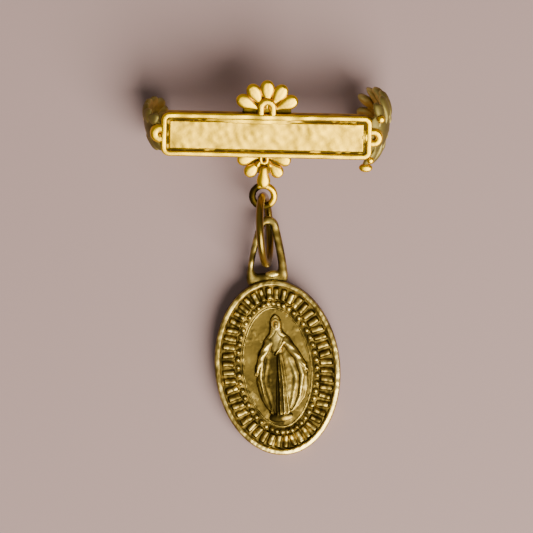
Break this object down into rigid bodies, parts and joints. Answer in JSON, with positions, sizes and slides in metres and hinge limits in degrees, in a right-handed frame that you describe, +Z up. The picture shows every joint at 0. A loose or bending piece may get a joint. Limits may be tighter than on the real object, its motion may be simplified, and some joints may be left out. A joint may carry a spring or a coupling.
{
  "type": "religious medal bar brooch",
  "caption": "Gilt bar brooch with half daisies on its edges and an oval devotional medal on a jump ring, lying on a surface.",
  "frame": {"origin": "centre of the footprint on the surface that the brooch and its medal lie on", "axes": "+Z up from the surface, +Y from the medal to the bar, +X along the bar towards its catch"},
  "size_m": [0.0252, 0.0376, 0.0082],
  "materials": {
    "gilt_bar": "worn bright gilt with dark recesses",
    "gilt_stem": "smooth gilt",
    "gilt_ring": "smooth tarnished gilt",
    "gilt_medal": "satin tarnished gilt with worn bright high spots"
  },
  "bodies": {
    "root": {"brooch_bar": "gilt_bar", "pin_stem": "gilt_stem", "jump_ring": "gilt_ring", "medal": "gilt_medal"}
  },
  "joints": []
}
